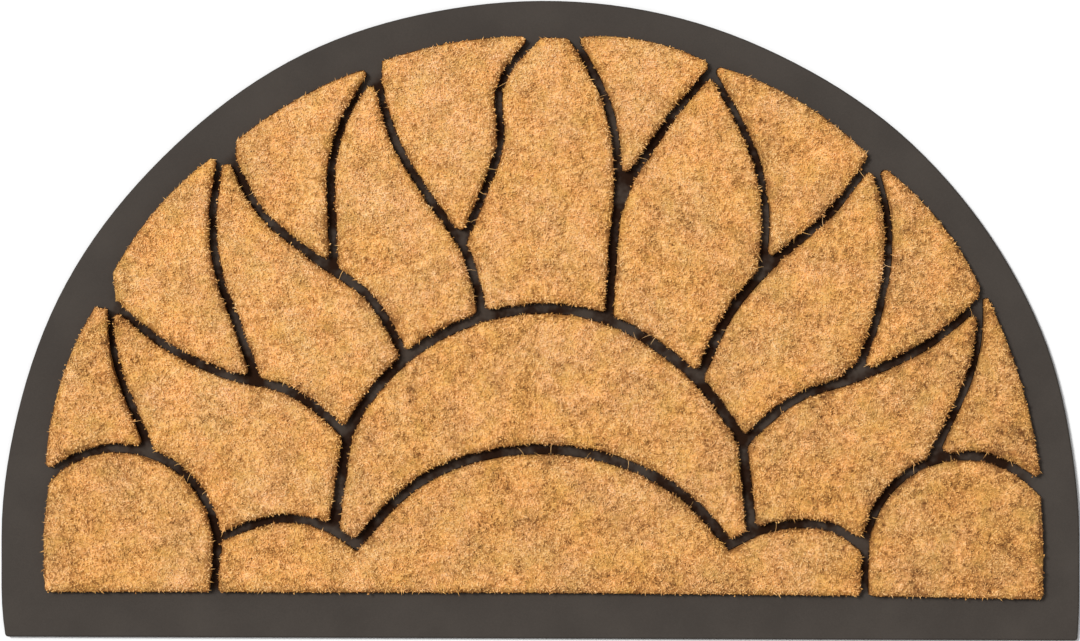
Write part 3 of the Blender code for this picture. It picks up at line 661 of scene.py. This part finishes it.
def long_hairs(ring, out, rng):
    """Places of the long bent hairs from the crown's edge out over the channel."""
    count = max(HAIR_FEWEST, round(len(ring) * SIDE_SPACING / HAIR_SPACING))
    chosen = rng.choice(len(ring), count, replace=False)
    out, at = out[chosen], ring[chosen]
    reach = looseness(at) * rng.uniform(*HAIR_REACHES, count) * MM
    slant = rng.uniform(-HAIR_SLANT, HAIR_SLANT, count)
    along_rim = np.column_stack([-out[:, 1], out[:, 0]])
    way = out * np.cos(slant)[:, None] + along_rim * np.sin(slant)[:, None]
    start = np.column_stack([at - out * HAIR_INSET, rng.uniform(*HAIR_FEET, count) * MM])
    end = start + np.column_stack([way * reach[:, None], rng.uniform(*HAIR_DROPS, count) * MM])
    right = np.column_stack([way[:, 1], -way[:, 0], np.zeros(count)])
    bow = right * (rng.uniform(-HAIR_BOW, HAIR_BOW, count) * reach)[:, None] + (0.0, 0.0, HAIR_LIFT)
    share = np.linspace(0.0, 1.0, HAIR_STEPS + 1)[None, :, None]
    line = start[:, None] + (end - start)[:, None] * share + bow[:, None] * 4 * share * (1 - share)
    half = (rng.uniform(*HAIR_HALF_WIDTHS, count) * MM)[:, None, None] * (1.0 - HAIR_TAPER * share ** 2)
    corners = []
    for corner in range(3):
        turn = corner * THIRD_OF_TURN
        across = right[:, None] * math.cos(turn) + np.array([0.0, 0.0, math.sin(turn)])
        corners.append(line + half * across)
    return np.stack(corners, axis=2).reshape(count, -1, 3)


def make_fibres(name, outline, rng):
    """The fibres that stand out of one pad, as one mesh of closed spikes and tubes."""
    top, top_tone, top_rise = top_fibres(outline, rng)
    ring, out = even_ring(outline, SIDE_SPACING)
    ring = ring + out * ragged(ring)[:, None]
    side, side_tone, side_rise = side_fibres(ring, out, rng)
    hair = long_hairs(ring, out, rng)
    spikes, hairs, per_hair = len(top) + len(side), len(hair), hair.shape[1]
    places = np.vstack([top.reshape(-1, 3), side.reshape(-1, 3), hair.reshape(-1, 3)])
    tone = np.concatenate([np.repeat(top_tone, 4), np.repeat(side_tone, 4),
                           np.repeat(rng.uniform(*HAIR_TONES, hairs), per_hair)])
    hair_rise = np.full(hairs * per_hair, HAIR_RISE)
    rise = np.concatenate([top_rise.ravel(), side_rise.ravel(), hair_rise]).clip(0.0, 1.0)
    spike_faces = (SPIKE_FACES[None] + 4 * np.arange(spikes)[:, None, None]).reshape(-1, 3)
    first_of_hair = 4 * spikes + per_hair * np.arange(hairs)
    faces = np.vstack([spike_faces, (HAIR_FACES[None] + first_of_hair[:, None, None]).reshape(-1, 3)])
    cells = math.ceil(math.sqrt(spikes + hairs))
    order = np.arange(spikes + hairs)
    cell = np.stack([order % cells, order // cells], axis=1)[:, None, None]
    bake_places = np.vstack([(cell[:spikes] + SPIKE_BAKE[None]).reshape(-1, 2),
                             (cell[spikes:] + HAIR_BAKE[None]).reshape(-1, 2)]) / cells
    return make_piece(name, places.tolist(), faces.tolist(), fibre_material, tone, rise, bake_places)


# Laying the pads. Each pad's packed mass and its fibres lie together in the seat that the moulded base
# has for them. Each bed and its fibres are built on the widest outline of its packed pad, which is hidden.
for order, pad_name in enumerate(PAD_NAMES):
    rim = pad_rim(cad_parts[pad_name])
    draws = np.random.default_rng(SEED + order)
    bed = make_bed(pad_name.replace("pad", "coir_bed"), rim, draws)
    fibres = make_fibres(pad_name.replace("pad", "coir_fibres"), rim, draws)
    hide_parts(pad_name)


# The floor and the light. The mat lies on a plain white floor in an even white surround, under one soft
# lamp high on the left and towards the round edge, as the shading in the photograph shows.
FLOOR_REACH = 60.0
FLOOR_LEVEL = -0.2 * MM
FLOOR_WHITE = (0.9, 0.9, 0.9, 1.0)
FLOOR_ROUGHNESS = 0.9
FLOOR_SHINE = 0.1
floor_corners = [(x * FLOOR_REACH, y * FLOOR_REACH, FLOOR_LEVEL)
                 for x, y in ((-1, -1), (1, -1), (1, 1), (-1, 1))]
floor_mesh = bpy.data.meshes.new("floor")
floor_mesh.from_pydata(floor_corners, [], [(0, 1, 2, 3)])
floor_paint = bpy.data.materials.new("floor_white")
floor_paint.use_nodes = True
paint = floor_paint.node_tree.nodes["Principled BSDF"]
paint.inputs["Base Color"].default_value = FLOOR_WHITE
paint.inputs["Roughness"].default_value = FLOOR_ROUGHNESS
paint.inputs["Specular IOR Level"].default_value = FLOOR_SHINE
floor_mesh.materials.append(floor_paint)
floor = bpy.data.objects.new("floor", floor_mesh)
bpy.context.scene.collection.objects.link(floor)

SURROUND_WHITE = (1.0, 1.0, 1.0, 1.0)
SURROUND_LIGHT = 0.51
SURROUND_SEEN = 1.05
world = bpy.data.worlds.new("white_surround")
bpy.context.scene.world = world
world.use_nodes = True
tree = world.node_tree
backdrop = tree.nodes["Background"]
seen = put(tree, "ShaderNodeLightPath").outputs["Is Camera Ray"]
strength = put(tree, "ShaderNodeMapRange", {"Value": seen, "To Min": SURROUND_LIGHT, "To Max": SURROUND_SEEN})
backdrop.inputs["Color"].default_value = SURROUND_WHITE
tree.links.new(strength.outputs["Result"], backdrop.inputs["Strength"])

LAMP_WAY = (-0.54, 0.33, 1.0)
LAMP_STRENGTH = 2.60
LAMP_WIDTH = math.radians(14.0)
lamp_data = bpy.data.lights.new("soft_lamp", "SUN")
lamp_data.energy = LAMP_STRENGTH
lamp_data.angle = LAMP_WIDTH
lamp = bpy.data.objects.new("soft_lamp", lamp_data)
lamp.rotation_euler = Vector(LAMP_WAY).to_track_quat("Z", "Y").to_euler()
bpy.context.scene.collection.objects.link(lamp)


# The photograph's view. The camera looks straight down from above the middle of the mat, with the
# straight edge at the bottom.
CAMERA_PLACE = (-0.29 * MM, 0.16 * MM, 2.542)
CAMERA_LENS = 120.0
CAMERA_SENSOR = 36.0
camera_data = bpy.data.cameras.new("camera")
camera_data.lens = CAMERA_LENS
camera_data.sensor_width = CAMERA_SENSOR
camera = bpy.data.objects.new("camera", camera_data)
camera.location = CAMERA_PLACE
bpy.context.scene.collection.objects.link(camera)
bpy.context.scene.camera = camera
bpy.context.scene.view_settings.view_transform = "Standard"
